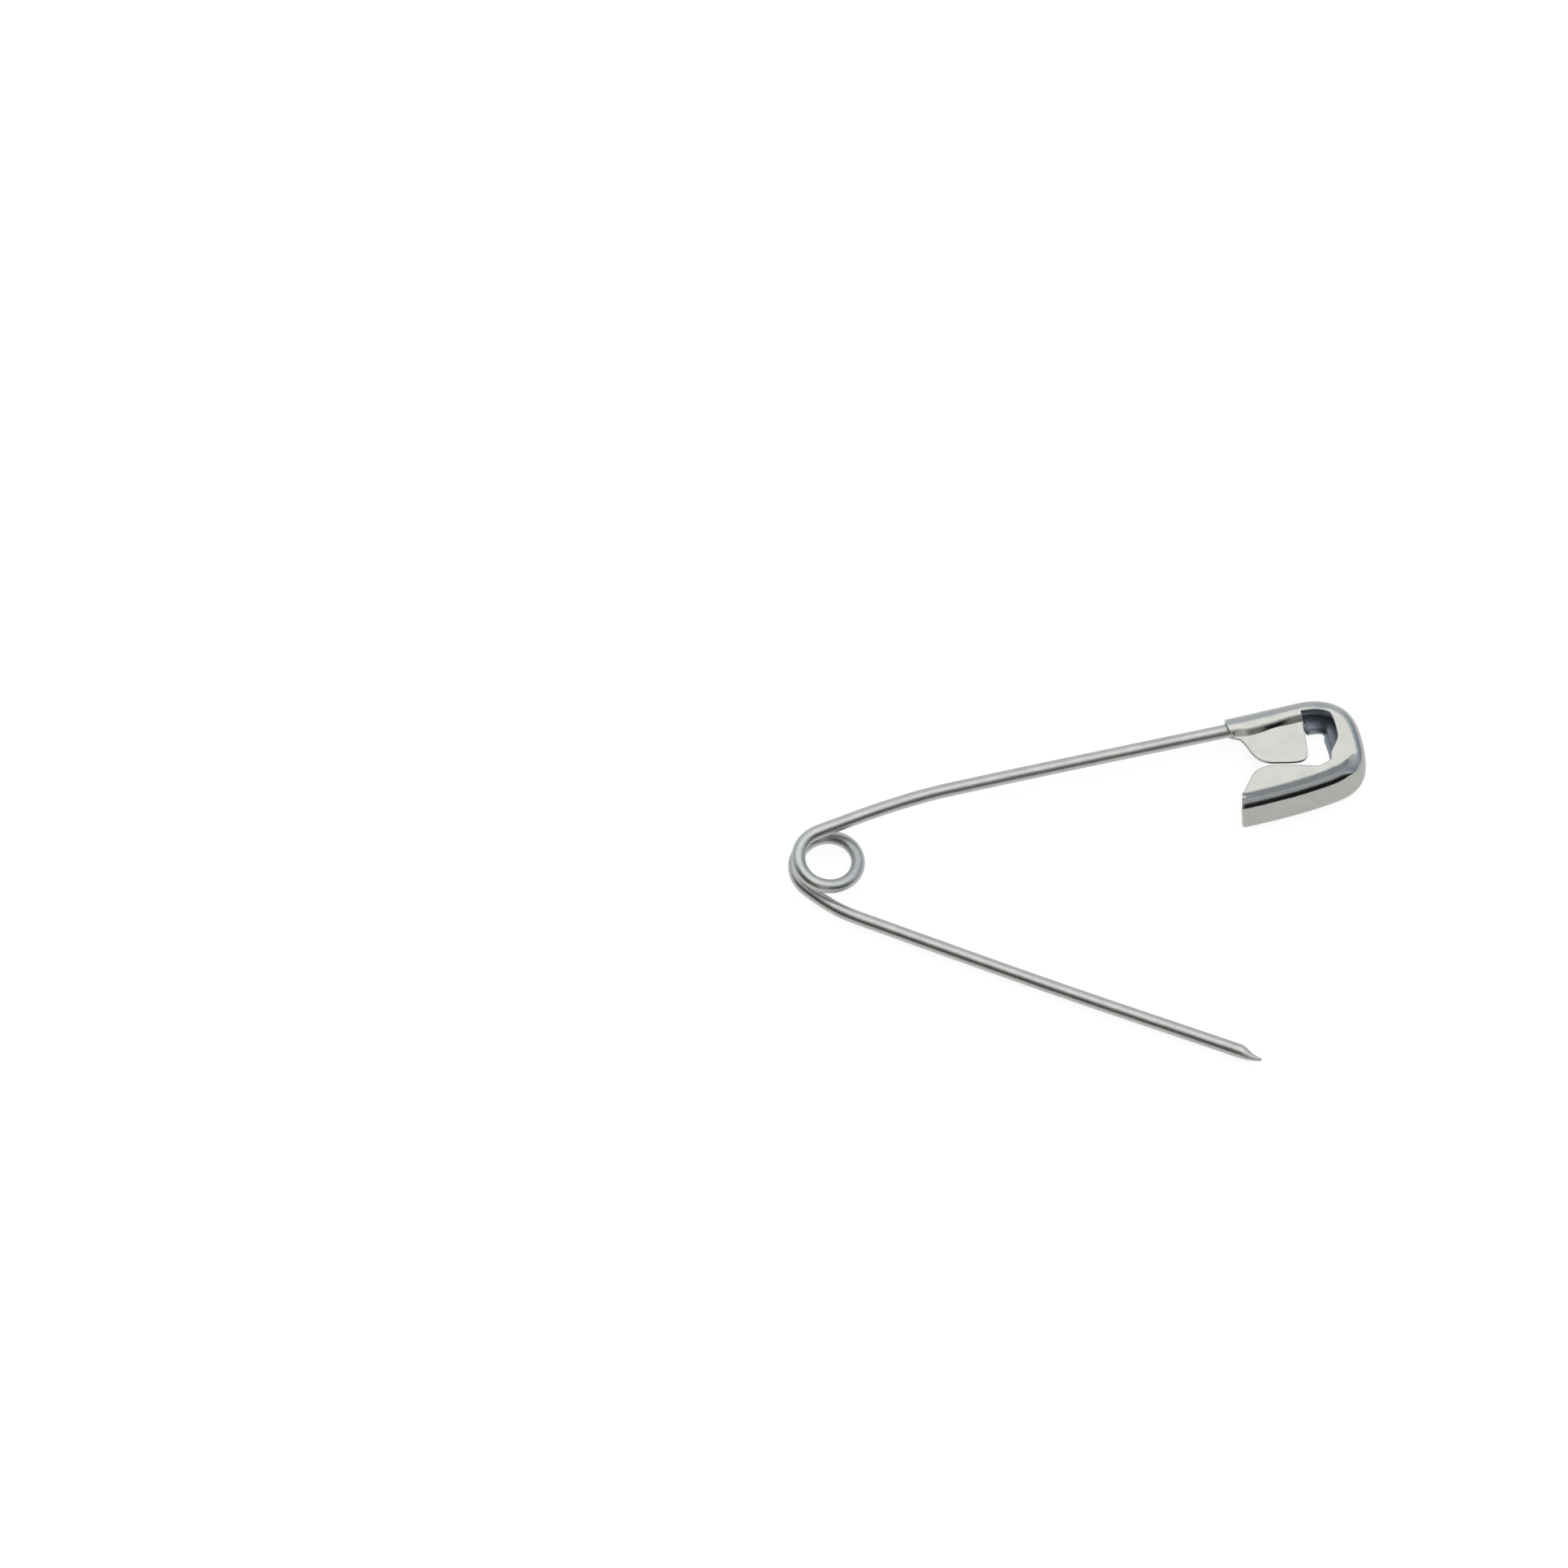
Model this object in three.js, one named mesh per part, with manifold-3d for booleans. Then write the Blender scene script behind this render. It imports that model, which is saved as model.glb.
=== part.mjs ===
// Safety pin, open and relaxed, lying flat with its capped end to +X.
// Millimetres, +Z up, z = 0 is the surface that it lies on.
// The drawing coordinates below are centred on the coil; the finished group is
// moved so that the origin is the bottom centre of the whole pin.
import * as THREE from 'three';
import { mergeVertices } from 'three/addons/utils/BufferGeometryUtils.js';
import Module from 'manifold-3d';

const wasm = await Module();
wasm.setup();

// ---------------------------------------------------------------- dimensions
const ORIGIN_X = 17.1545;     // bottom centre of the whole pin, in drawing coordinates
const ORIGIN_Y = -8.4214;

const WIRE_D = 0.93;        // spring wire
const WIRE_R = WIRE_D / 2;
const WIRE_SIDES = 16;

// coil: about one and a third turns, wound down from the back arm to the pin arm
const COIL_RADIUS = [[0, 1.90], [0.14, 1.97], [0.233, 2.06], [0.326, 2.09], [0.42, 2.08], [0.54, 2.06], [0.607, 2.12],
  [0.70, 2.18], [0.75, 2.20], [0.85, 2.22], [0.92, 2.14], [1, 2.06]];   // [part of the coil's length, mean radius]
const COIL_A0 = 99;         // start angle, degrees, back arm side
const COIL_A1 = 580;        // end angle, degrees, pin arm side
const COIL_RISE = 1.80;     // axial distance between the two arms
const COIL_STEPS = 48;
const SPLIT_GAP = 0.03;     // clear gap at each cut through the continuous wire

// plane that the pin arm swings in: z = PLANE_Z + PLANE_X x + PLANE_Y y
const PLANE_Z = 0.361;
const PLANE_X = -0.0350;
const PLANE_Y = -0.0472;

// back arm, from the coil to its end inside the crimp
const BACK_Y = 2.99;        // straight run, parallel to X
const BACK_Z = 1.15;        // wire axis height at the cap
const BACK_END_X = 32.7;

// pin arm and its ground point
const TIP = [24.59, -20.48];
const POINT_LENGTH = 1.55;
const POINT_R = 0.045;

// cap: one pressed and folded sheet
const SHEET = 0.27;
const CRIMP_R = 0.77;       // outside radius of the crimp round the back arm
const CRIMP_X0 = 28.25;     // open end of the crimp
const LOBE_END_X = 33.30;   // right edge of the upper lobe, at the eye
const CHANNEL_X0 = 27.75;   // open end of the pin channel
const CHANNEL_H = 2.57;     // height of the channel's ridge
const END_H = 1.60;         // height of the rim at the round end
const CORNER_R = 0.50;      // channel section: outside radius of the bottom corner,
const SHOULDER_R = 0.70;    //   of the shoulder above the wall,
const RIDGE_R = 0.30;       //   and of the ridge
const RIDGE_FALL = 50;      // inner face of the ridge, degrees from level
const PLATE_Z = 1.455;      // middle of the sheet of both upper lobes
const OPEN_SLANT = 0.25;    // the channel's open end runs this far back for each mm inward

const deg = Math.PI / 180;
const lerp = (a, b, t) => a + (b - a) * t;
const smooth = (t) => { t = Math.min(1, Math.max(0, t)); return t * t * (3 - 2 * t); };
const planeZ = (x, y) => PLANE_Z + PLANE_X * x + PLANE_Y * y;

// value at x from a list of [x, value] pairs, straight between them
function table(pairs, x) {
  if (x <= pairs[0][0]) return pairs[0][1];
  for (let i = 1; i < pairs.length; i++) {
    if (x <= pairs[i][0]) {
      const [x0, v0] = pairs[i - 1], [x1, v1] = pairs[i];
      return lerp(v0, v1, (x - x0) / (x1 - x0));
    }
  }
  return pairs[pairs.length - 1][1];
}

// closed solid from rings of points, each ring with the same number of points
function loft(rings) {
  const n = rings[0].length, pos = [], idx = [];
  for (const ring of rings) for (const p of ring) pos.push(p.x, p.y, p.z);
  for (let i = 0; i < rings.length - 1; i++) {
    for (let j = 0; j < n; j++) {
      const a = i * n + j, b = i * n + (j + 1) % n, c = a + n, d = b + n;
      idx.push(a, c, b, b, c, d);
    }
  }
  for (const [k, flip] of [[0, false], [rings.length - 1, true]]) {
    const centre = new THREE.Vector3();
    for (const p of rings[k]) centre.add(p);
    centre.divideScalar(n);
    const c = pos.length / 3;
    pos.push(centre.x, centre.y, centre.z);
    for (let j = 0; j < n; j++) {
      const a = k * n + j, b = k * n + (j + 1) % n;
      if (flip) idx.push(c, b, a); else idx.push(c, a, b);
    }
  }
  return closed(pos, idx);
}

// indexed geometry, turned inside out if its volume came out negative
function closed(pos, idx) {
  let v = 0;
  for (let i = 0; i < idx.length; i += 3) {
    const [a, b, c] = [idx[i] * 3, idx[i + 1] * 3, idx[i + 2] * 3];
    v += pos[a] * (pos[b + 1] * pos[c + 2] - pos[b + 2] * pos[c + 1])
       + pos[a + 1] * (pos[b + 2] * pos[c] - pos[b] * pos[c + 2])
       + pos[a + 2] * (pos[b] * pos[c + 1] - pos[b + 1] * pos[c]);
  }
  if (v < 0) for (let i = 0; i < idx.length; i += 3) [idx[i], idx[i + 1]] = [idx[i + 1], idx[i]];
  const g = new THREE.BufferGeometry();
  g.setAttribute('position', new THREE.Float32BufferAttribute(pos, 3));
  g.setIndex(idx);
  return g;
}

// round wire along a list of points, with a radius and a sideways shift at each
function wire(points, radius = () => WIRE_R, shift = () => [0, 0, 0]) {
  const rings = [];
  let up = null;
  for (let i = 0; i < points.length; i++) {
    const t = new THREE.Vector3();
    if (i === 0) t.subVectors(points[1], points[0]);
    else if (i === points.length - 1) t.subVectors(points[i], points[i - 1]);
    else t.subVectors(points[i + 1], points[i - 1]);
    t.normalize();
    if (!up) up = new THREE.Vector3(0, 0, 1);
    up = up.clone().addScaledVector(t, -up.dot(t)).normalize();
    const side = new THREE.Vector3().crossVectors(t, up);
    const r = radius(i), s = shift(i), ring = [];
    for (let j = 0; j < WIRE_SIDES; j++) {
      const a = (j + 0.5) * 2 * Math.PI / WIRE_SIDES;
      ring.push(points[i].clone().add(new THREE.Vector3(...s))
        .addScaledVector(side, r * Math.cos(a)).addScaledVector(up, r * Math.sin(a)));
    }
    rings.push(ring);
  }
  return loft(rings);
}

// ---------------------------------------------------------------- wire route
// coil centreline: a helix whose axis stands square to the swing plane
const axis = new THREE.Vector3(-PLANE_X, -PLANE_Y, 1).normalize();
function coilRadius(u) {
  let sum = 0;
  for (let i = -4; i <= 4; i++) sum += table(COIL_RADIUS, u + i * 0.015);
  return sum / 9;
}
function coilPoint(angle) {
  const u = (angle - COIL_A0) / (COIL_A1 - COIL_A0);
  const r = coilRadius(u);
  const x = r * Math.cos(angle * deg), y = r * Math.sin(angle * deg);
  const p = new THREE.Vector3(x, y, planeZ(x, y));
  return p.addScaledVector(axis, COIL_RISE * (1 - smooth(u)));
}

// back arm: leaves the coil rising a little outwards, then runs straight to the cap
const coilStart = coilPoint(COIL_A0);
const backCurve = new THREE.CatmullRomCurve3([
  coilStart,
  new THREE.Vector3(1.73, 2.23, 2.10),
  new THREE.Vector3(4.03, 2.57, 2.04),
  new THREE.Vector3(7.5, 2.91, 1.92),
  new THREE.Vector3(11.5, BACK_Y - 0.01, 1.77),
  new THREE.Vector3(20, BACK_Y, 1.46),
  new THREE.Vector3(CRIMP_X0 - 1.2, BACK_Y, 1.18),
  new THREE.Vector3(CRIMP_X0, BACK_Y, BACK_Z),
  new THREE.Vector3(BACK_END_X, BACK_Y, BACK_Z),
], false, 'centripetal');

const coilEnd = coilPoint(COIL_A1);
const pinXY = [[-0.62, -2.56], [0.28, -3.45], [3.13, -5.53], [12.6, -12.25], [21.16, -18.12], TIP];
const pinCurve = new THREE.CatmullRomCurve3([coilEnd,
  ...pinXY.map(([x, y]) => new THREE.Vector3(x, y, planeZ(x, y)))], false, 'centripetal');

function backArm() {
  const n = 30, pts = [];
  for (let i = 0; i <= n; i++) {
    const u = i / n;
    pts.push(backCurve.getPointAt(u === 0 ? SPLIT_GAP / backCurve.getLength() : u));
  }
  return wire(pts);
}

function springCoil() {
  const pts = [];
  for (let i = 0; i <= COIL_STEPS; i++) pts.push(coilPoint(lerp(COIL_A0, COIL_A1, i / COIL_STEPS)));
  return wire(pts);
}

function pinArm() {
  const length = pinCurve.getLength(), taper = POINT_LENGTH / length;
  const us = [SPLIT_GAP / length];
  for (let i = 1; i <= 22; i++) us.push(i / 22 * (1 - taper));
  for (const f of [0.3, 0.6, 0.82, 1]) us.push(1 - taper + taper * f);
  const pts = us.map((u) => pinCurve.getPointAt(u));
  const radius = us.map((u) => {
    const f = Math.max(0, (u - (1 - taper)) / taper);
    return lerp(WIRE_R, POINT_R, f ** 1.15);
  });
  // the point is ground more from the inner side, so it ends near the outer one
  const d = new THREE.Vector3().subVectors(pts[pts.length - 1], pts[pts.length - 6]).normalize();
  const out = new THREE.Vector3().crossVectors(d, axis).normalize();
  const shift = radius.map((r) => out.clone().multiplyScalar((WIRE_R - r) * 0.25).toArray());
  return wire(pts, (i) => radius[i], (i) => shift[i]);
}

// ---------------------------------------------------------------- cap
// centre line of the cap's rolled rim, in plan: crimp, round end, pin channel
const V = (x, y) => new THREE.Vector2(x, y);
const rim = new THREE.CurvePath();
rim.add(new THREE.LineCurve(V(CRIMP_X0, BACK_Y), V(LOBE_END_X, BACK_Y)));
rim.add(new THREE.CubicBezierCurve(V(LOBE_END_X, BACK_Y), V(35.00, BACK_Y), V(35.95, 2.48), V(36.05, 1.00)));
rim.add(new THREE.CubicBezierCurve(V(36.05, 1.00), V(36.09, 0.40), V(36.08, -0.15), V(35.99, -0.74)));
rim.add(new THREE.CubicBezierCurve(V(35.99, -0.74), V(35.80, -1.95), V(35.05, -2.36), V(33.60, -2.55)));
rim.add(new THREE.CubicBezierCurve(V(33.60, -2.55), V(31.80, -2.784), V(29.60, -2.86), V(CHANNEL_X0, -2.82)));

// position and inward direction at curve k, parameter t
function rimAt(k, t) {
  const c = rim.curves[k], p = c.getPoint(t), d = c.getTangent(t);
  return { p, inward: V(d.y, -d.x), k, t };
}

// sheet solid: one row of middle points and normals (e, h, ne, nh) for each
// station on the rim, e inward from the rim's centre line, h up from the roll's
function sheet(rows) {
  const m = rows[0].line.length, rings = [];
  for (const { at, z, line, slant = 0 } of rows) {
    const ring = new Array(2 * m);
    for (let i = 0; i < m; i++) {
      for (const [side, j] of [[1, i], [-1, 2 * m - 1 - i]]) {
        const e = line[i][0] + side * line[i][2] * SHEET / 2;
        const h = line[i][1] + side * line[i][3] * SHEET / 2;
        ring[j] = new THREE.Vector3(at.p.x + at.inward.x * e + slant * e, at.p.y + at.inward.y * e, z + h);
      }
    }
    rings.push(ring);
  }
  return loftStrip(rings, m);
}

// like loft, with ends made of quads between the two faces of the sheet
function loftStrip(rings, m) {
  const n = 2 * m, pos = [], idx = [];
  for (const ring of rings) for (const p of ring) pos.push(p.x, p.y, p.z);
  for (let i = 0; i < rings.length - 1; i++) {
    for (let j = 0; j < n; j++) {
      const a = i * n + j, b = i * n + (j + 1) % n, c = a + n, d = b + n;
      idx.push(a, c, b, b, c, d);
    }
  }
  for (const [k, flip] of [[0, false], [rings.length - 1, true]]) {
    for (let j = 0; j < m - 1; j++) {
      const a = k * n + j, b = a + 1, c = k * n + n - 1 - j, d = c - 1;
      if (flip) idx.push(a, c, b, b, c, d); else idx.push(a, b, c, b, d, c);
    }
  }
  return closed(pos, idx);
}

// every roll has its section points on the same angles, so that they meet exactly
const ROLL_STEP = 14;
const arcLine = (r, a0, a1) => Array.from({ length: (a1 - a0) / ROLL_STEP + 1 }, (_, i) => {
  const a = (a0 + i * ROLL_STEP) * deg;
  return [r * Math.cos(a), r * Math.sin(a), Math.cos(a), Math.sin(a)];
});

// how far each lobe reaches inward, by station x on the lower arm
const LOBE_A = [[27.75, 0.62], [27.9, 0.92], [28.1, 1.20], [28.4, 1.50], [28.7, 1.80], [29.1, 2.10],
  [29.6, 2.36], [30.0, 2.47], [30.4, 2.47], [30.8, 2.38], [31.4, 2.20], [32.2, 1.95], [33.0, 1.66], [33.6, 1.43]];
const LOBE_B = [[27.75, 0.30], [28.1, 0.48], [28.5, 0.85], [28.9, 1.25], [29.4, 1.72], [29.9, 2.10],
  [30.4, 2.30], [30.8, 2.32], [31.2, 2.18], [31.7, 1.98], [32.7, 1.68], [33.6, 1.50]];

// the rim's shape at curve k, parameter t: half its height r, and how far it is
// drawn up into the channel's ridge, g
function rimShape(k, t) {
  const v = k < 2 ? 0 : k === 2 ? 0.35 * Math.max(0, t - 0.3) / 0.7 : k === 3 ? 0.35 + 0.65 * t / 0.85 : 1;
  return { r: lerp(END_H / 2, CHANNEL_H / 2 + 0.01, smooth(v)), g: smooth(v * 1.1) };
}

// flange, ridge, wall, bottom corner and under flange in one section
function sectionLine(at, reachA, reachB) {
  const { r, g } = rimShape(at.k, at.t), half = SHEET / 2;
  const rb = lerp(r, CORNER_R, g), rt = lerp(r, SHOULDER_R, g), rr = lerp(r, RIDGE_R, g);
  const near = Math.max(0, at.inward.x * 0.242 + at.inward.y * 0.970);
  const cb = [-(r - rb) * lerp(1, 0.637, near), rb];
  const ct = [0.08 * g, 2 * r - 0.02 * g - rr - (rt - rr) * Math.cos(40 * deg)];
  const cr = [ct[0] - (rt - rr) * Math.sin(40 * deg), ct[1] + (rt - rr) * Math.cos(40 * deg)];
  const dist = Math.hypot(ct[0] - cb[0], ct[1] - cb[1]);
  const wall = g < 1e-6 ? 180 : 90 + (Math.atan2(cb[0] - ct[0], ct[1] - cb[1]) + Math.acos((rb - rt) / dist)) / deg;
  const arcPoint = (a) => {
    const [c, rad] = a <= 130 ? [cr, rr] : a <= wall ? [ct, rt] : [cb, rb];
    const cos = Math.cos(a * deg), sin = Math.sin(a * deg);
    return [c[0] + (rad - half) * cos, c[1] + (rad - half) * sin - r, cos, sin];
  };
  const out = [];
  // ridge, wall and bottom corner
  for (let a = 82; a <= 264; a += ROLL_STEP) out.push(arcPoint(a));
  // inner face of the ridge, falling to the plate
  const fall = lerp(8, RIDGE_FALL, g);
  let last;
  for (let i = 1; i <= 3; i++) {
    last = arcPoint(90 - lerp(8, fall, i / 3));
    last[0] += 0.03 * i * (1 - g);
    out.unshift(last);
  }
  const plate = PLATE_Z - r;
  const foot = last[0] + Math.max(0.01, last[1] - plate) / Math.tan(fall * deg);
  const tilt = Math.tan(fall * deg / 2);
  out.unshift([foot, plate, tilt, 1]);
  const la = Math.max(reachA, foot + 0.15);
  for (let i = 3; i >= 0; i--) out.unshift([lerp(la, foot + 0.05, i / 4), plate, 0, 1]);
  // under sheet: flat, with a slightly raised lip
  const lb = Math.max(reachB, 0.22);
  for (let i = 1; i <= 4; i++) {
    const e = lb * i / 4;
    out.push([e, half - r + (i === 4 ? 0.05 : 0), 0, -1]);
  }
  return out;
}

function capSolid(geometry) {
  const g = geometry.clone();
  g.deleteAttribute('normal');
  g.deleteAttribute('uv');
  const m = mergeVertices(g, 1e-4);
  return new wasm.Manifold(new wasm.Mesh({
    numProp: 3,
    vertProperties: new Float32Array(m.attributes.position.array),
    triVerts: new Uint32Array(m.index.array),
  }));
}

// how far the under flange reaches inward below the eye; it reaches further where it is higher
function underReach(t, z) {
  return lerp(0.95, 1.35, smooth((t - 0.3) / 0.7)) + 0.45 * z;
}

function cap() {
  const rm = CRIMP_R - SHEET / 2;
  // crimp: a nearly closed tube round the back arm
  const crimp = sheet([0, 1].map((t) => ({ at: rimAt(0, t), z: BACK_Z, line: arcLine(rm, 26, 334) })));

  // upper lobe: a flat leaf from the crimp towards the middle
  const leaf = new THREE.Shape();
  leaf.moveTo(28.30, BACK_Y - 0.50);
  leaf.lineTo(28.40, 2.22);
  leaf.splineThru([V(28.70, 1.88), V(29.00, 1.36), V(29.36, 0.77), V(29.84, 0.18), V(30.40, -0.14)]);
  leaf.splineThru([V(31.0, -0.29), V(31.8, -0.47), V(32.35, -0.54), V(32.76, -0.46), V(32.98, -0.16)]);
  leaf.lineTo(33.16, 1.20);
  leaf.lineTo(LOBE_END_X - 0.05, BACK_Y - 0.50);
  leaf.closePath();
  const lobe = new THREE.ExtrudeGeometry(leaf, { depth: SHEET, bevelEnabled: false, curveSegments: 3 });
  lobe.translate(0, 0, PLATE_Z - SHEET / 2);

  // bare roll above the eye, with only the under flange
  const bare = [], bareEnd = 0.58;
  for (const t of [0, 0.04, 0.09, 0.15, 0.22, 0.30, 0.38, 0.45, 0.52, bareEnd]) {
    const f = smooth(t / bareEnd), r = lerp(CRIMP_R, END_H / 2, f), z = lerp(BACK_Z, END_H / 2, f), mid = r - SHEET / 2;
    const line = arcLine(mid, 82, 264);
    const reach = underReach(t, z - r);
    for (let i = 1; i <= 4; i++) {
      const a = (264 + i * ROLL_STEP) * deg, e = reach * i / 4;
      line.push(t === 0 ? [mid * Math.cos(a), mid * Math.sin(a), Math.cos(a), Math.sin(a)] : [e, -mid + (i === 4 ? 0.05 : 0), 0, -1]);
    }
    bare.push({ at: rimAt(1, t), z, line });
  }

  // round end and pin channel
  const rows = [];
  const station = (k, t, reachA, reachB, slant = 0) => {
    const at = rimAt(k, t);
    rows.push({ at, z: rimShape(k, t).r, line: sectionLine(at, reachA, reachB), slant });
  };
  for (const [t, a] of [[bareEnd, 0.36], [0.66, 0.46], [0.74, 0.54], [0.84, 0.64], [0.93, 0.70]]) station(1, t, a, underReach(t, 0));
  for (const t of [0, 0.25, 0.5, 0.75]) station(2, t, lerp(0.75, 1.35, smooth(t)), lerp(1.35, 1.50, t));
  for (let i = 0; i <= 9; i++) {
    const t = i / 10;
    station(3, t, lerp(1.55, 1.43, smooth(t)), 1.50);
  }
  for (let i = 0; i <= 22; i++) {
    const t = i / 22, x = rim.curves[4].getPoint(t).x;
    const slant = OPEN_SLANT * Math.min(1, Math.max(0, (29.4 - x) / (29.4 - CHANNEL_X0)));
    station(4, t, table(LOBE_A, x), table(LOBE_B, x), slant);
  }
  const solid = capSolid(crimp).add(capSolid(lobe)).add(capSolid(sheet(bare))).add(capSolid(sheet(rows)));
  const mesh = solid.getMesh();
  const g = new THREE.BufferGeometry();
  g.setAttribute('position', new THREE.BufferAttribute(new Float32Array(mesh.vertProperties), 3));
  g.setIndex(new THREE.BufferAttribute(new Uint32Array(mesh.triVerts), 1));
  return g;
}

// ---------------------------------------------------------------- assembly
const wireSteel = (name) => new THREE.MeshStandardMaterial({ name, color: 0xb9b8b2, roughness: 0.24, metalness: 1 });
const capSteel = new THREE.MeshStandardMaterial({ name: 'cap_nickel', color: 0xd2d2cc, roughness: 0.14, metalness: 1 });

const pin = new THREE.Group();
pin.name = 'safety_pin';
pin.position.set(-ORIGIN_X, -ORIGIN_Y, 0);
function place(name, geometry, material) {
  const mesh = new THREE.Mesh(geometry, material);
  mesh.name = name;
  pin.add(mesh);
}
place('back_arm', backArm(), wireSteel('back_arm_steel'));
place('spring_coil', springCoil(), wireSteel('coil_steel'));
place('pin_arm', pinArm(), wireSteel('pin_arm_steel'));
place('clasp_cap', cap(), capSteel);

export default pin;
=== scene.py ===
import math

import bmesh
import bpy
import numpy as np
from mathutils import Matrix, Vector
from mathutils.kdtree import KDTree


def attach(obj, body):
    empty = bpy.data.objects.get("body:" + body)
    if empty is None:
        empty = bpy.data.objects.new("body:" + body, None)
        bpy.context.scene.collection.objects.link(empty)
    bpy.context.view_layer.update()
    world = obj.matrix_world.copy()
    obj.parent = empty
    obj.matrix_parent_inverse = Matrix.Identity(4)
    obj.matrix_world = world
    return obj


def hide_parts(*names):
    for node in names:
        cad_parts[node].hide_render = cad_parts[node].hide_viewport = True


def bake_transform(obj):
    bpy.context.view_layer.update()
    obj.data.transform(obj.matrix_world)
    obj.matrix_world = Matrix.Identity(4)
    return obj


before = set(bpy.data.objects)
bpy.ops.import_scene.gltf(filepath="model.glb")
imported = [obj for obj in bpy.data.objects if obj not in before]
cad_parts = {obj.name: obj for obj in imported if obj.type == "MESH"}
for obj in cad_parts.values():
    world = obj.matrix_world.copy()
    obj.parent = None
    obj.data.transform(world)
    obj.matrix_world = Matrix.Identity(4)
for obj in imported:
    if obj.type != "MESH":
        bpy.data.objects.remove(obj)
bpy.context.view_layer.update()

# Everything below is drawn in millimetres with the middle of the coil at X = Y = 0,
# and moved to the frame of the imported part, in metres, when a mesh is made.
MM = 0.001
ORIGIN = np.array([17.1545, -8.4214, 0.0])
DEG = math.pi / 180


def lerp(a, b, t):
    return a + (b - a) * t


def smooth(t):
    t = min(1.0, max(0.0, t))
    return t * t * (3 - 2 * t)


def unit(v):
    v = np.asarray(v, float)
    return v / np.linalg.norm(v)


def row_frame(p):
    return (np.asarray(p, float) - ORIGIN) * MM


# ------------------------------------------------------------------ mesh helpers
def new_mesh(name, verts, faces, sharp=(), attributes=None):
    """A smooth-shaded mesh object from drawing coordinates; sharp is a set of edges (vertex pairs)."""
    mesh = bpy.data.meshes.new(name)
    mesh.from_pydata([tuple(v) for v in row_frame(verts)], [], [tuple(f) for f in faces])
    mesh.update()
    for key, values in (attributes or {}).items():
        values = np.asarray(values, np.float32)
        if values.ndim == 1:
            a = mesh.attributes.new(key, "FLOAT", "POINT")
            a.data.foreach_set("value", values)
        else:
            a = mesh.attributes.new(key, "FLOAT_VECTOR", "POINT")
            a.data.foreach_set("vector", values.ravel())
    bm = bmesh.new()
    bm.from_mesh(mesh)
    bmesh.ops.recalc_face_normals(bm, faces=bm.faces)
    for f in bm.faces:
        f.smooth = True
    if sharp:
        wanted = {tuple(sorted(e)) for e in sharp}
        bm.verts.ensure_lookup_table()
        for e in bm.edges:
            if tuple(sorted((e.verts[0].index, e.verts[1].index))) in wanted:
                e.smooth = False
    bm.to_mesh(mesh)
    bm.free()
    obj = bpy.data.objects.new(name, mesh)
    bpy.context.scene.collection.objects.link(obj)
    return obj


# ------------------------------------------------------------------ wire route
WIRE_R = 0.463
PLANE = (0.361, -0.0350, -0.0472)
AXIS = unit([0.0350, 0.0472, 1.0])
COIL_A0, COIL_A1, COIL_RISE = 99.0, 580.0, 1.80
COIL_RADIUS = ((0, 1.90), (0.14, 1.97), (0.233, 2.06), (0.326, 2.09), (0.42, 2.08), (0.54, 2.06), (0.607, 2.12),
               (0.70, 2.18), (0.75, 2.20), (0.85, 2.22), (0.92, 2.14), (1, 2.06))
POINT_LENGTH = 1.55


def plane_z(x, y):
    return PLANE[0] + PLANE[1] * x + PLANE[2] * y


def coil_point(angle):
    u = (angle - COIL_A0) / (COIL_A1 - COIL_A0)
    r = float(np.mean([np.interp(u + i * 0.015, *zip(*COIL_RADIUS)) for i in range(-4, 5)]))
    x, y = r * math.cos(angle * DEG), r * math.sin(angle * DEG)
    return np.array([x, y, plane_z(x, y)]) + AXIS * COIL_RISE * (1 - smooth(u))


def spline(points, steps=40):
    """Centripetal Catmull-Rom through the points."""
    p = [np.asarray(q, float) for q in points]
    p = [2 * p[0] - p[1]] + p + [2 * p[-1] - p[-2]]
    out = []
    for i in range(1, len(p) - 2):
        a, b, c, d = p[i - 1:i + 3]
        d0, d1, d2 = (max(np.linalg.norm(q - r) ** 0.5, 1e-4) for q, r in ((b, a), (c, b), (d, c)))
        t1 = ((b - a) / d0 - (c - a) / (d0 + d1) + (c - b) / d1) * d1
        t2 = ((c - b) / d1 - (d - b) / (d1 + d2) + (d - c) / d2) * d1
        for k in range(steps):
            t = k / steps
            out.append(b + t1 * t + (-3 * b + 3 * c - 2 * t1 - t2) * t * t + (2 * b - 2 * c + t1 + t2) * t ** 3)
    out.append(p[-2])
    return np.array(out)


def cumulative(points):
    return np.concatenate([[0], np.cumsum(np.linalg.norm(np.diff(points, axis=0), axis=1))])


def at_lengths(points, lengths):
    s = cumulative(points)
    return np.stack([np.interp(lengths, s, points[:, k]) for k in range(3)], axis=1)


back = spline([coil_point(COIL_A0), (1.73, 2.23, 2.10), (4.03, 2.57, 2.04), (7.5, 2.91, 1.92), (11.5, 2.98, 1.77),
               (20, 2.99, 1.46), (27.05, 2.99, 1.18), (28.25, 2.99, 1.15), (32.7, 2.99, 1.15)])
coil = np.array([coil_point(a) for a in np.linspace(COIL_A0, COIL_A1, 260)])
pin = spline([coil_point(COIL_A1)] + [(x, y, plane_z(x, y)) for x, y in
             ((-0.62, -2.56), (0.28, -3.45), (3.13, -5.53), (12.6, -12.25), (21.16, -18.12), (24.59, -20.48))])
route = np.concatenate([back[::-1], coil[1:], pin[1:]])
split_at = cumulative(back)[-1] + cumulative(coil)[-1]      # where the coil gives way to the pin arm

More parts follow.
